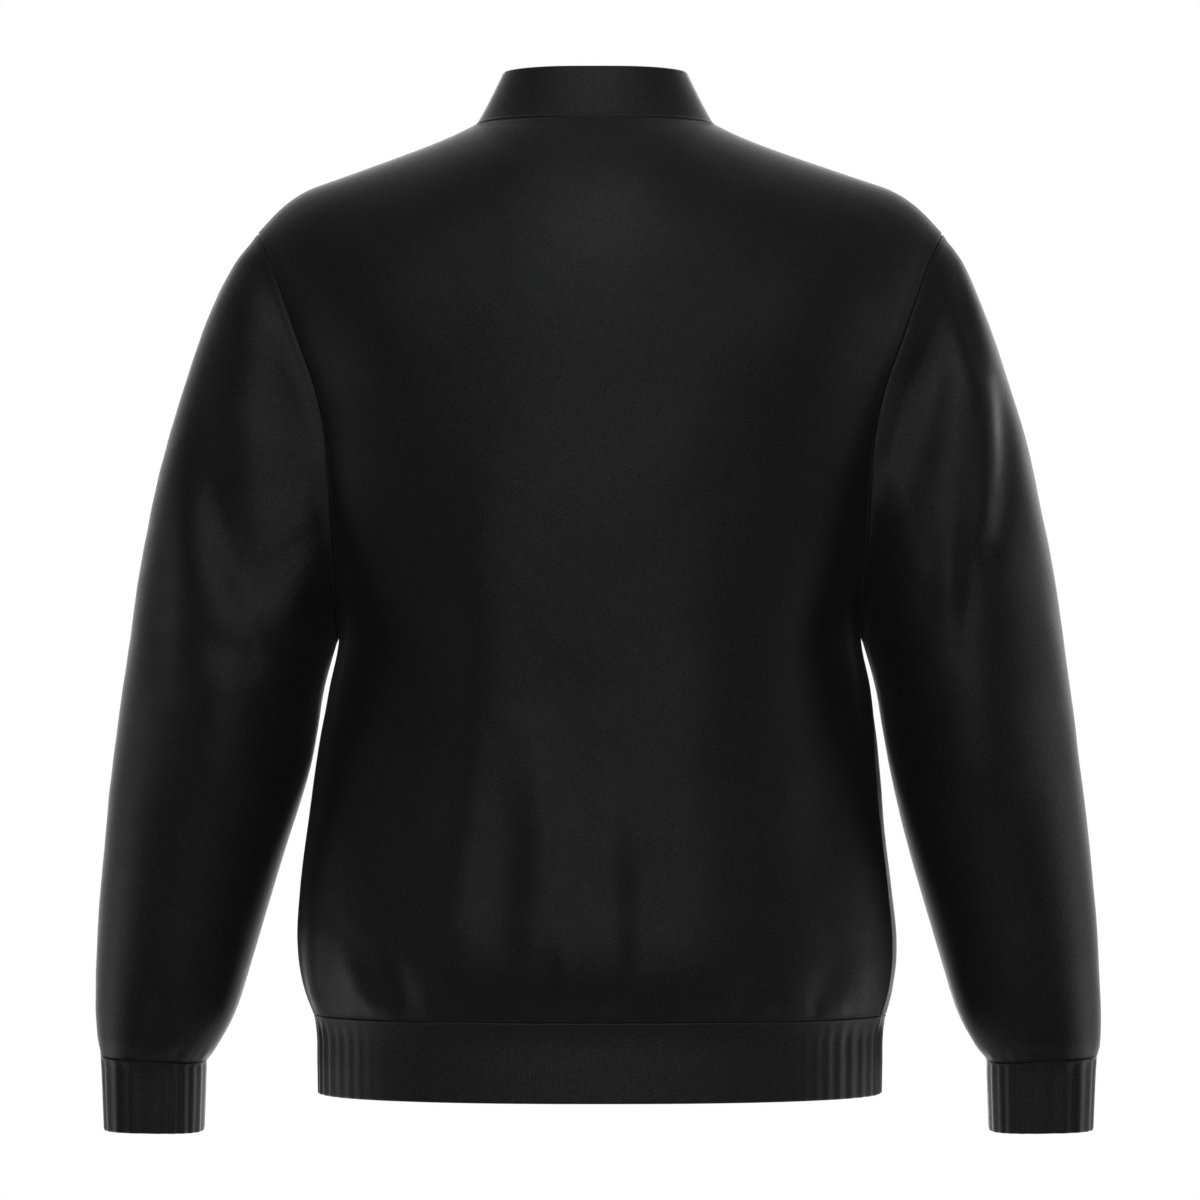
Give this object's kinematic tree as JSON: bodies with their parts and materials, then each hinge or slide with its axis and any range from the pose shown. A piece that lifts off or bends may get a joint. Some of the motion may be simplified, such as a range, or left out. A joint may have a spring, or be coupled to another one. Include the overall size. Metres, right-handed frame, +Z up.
{
  "type": "varsity jacket",
  "caption": "Hollow black varsity jacket, filled out as worn, with set-in sleeves, rib collar, cuffs and hem band, snapped shut in front.",
  "frame": {"origin": "middle of the neck opening, level with the points where the shoulder seams meet the collar, where the wearer's neck and shoulders hold the jacket up", "axes": "+Z up, the wearer faces -Y, the wearer's left arm is at +X"},
  "size_m": [0.7372, 0.2675, 0.7767],
  "materials": {
    "cloth": "brushed wool cloth with a short nap",
    "rib": "fine rib knit, folded double",
    "snap": "satin black enamel"
  },
  "bodies": {
    "root": {"back": "cloth", "front_left": "cloth", "front_right": "cloth", "sleeve_left": "cloth", "sleeve_right": "cloth", "cuff_left": "rib", "cuff_right": "rib", "collar": "rib", "hem_band": "rib", "snap_1": "snap", "snap_2": "snap", "snap_3": "snap", "snap_4": "snap", "snap_5": "snap", "snap_6": "snap", "snap_7": "snap", "snap_8": "snap"}
  },
  "joints": []
}
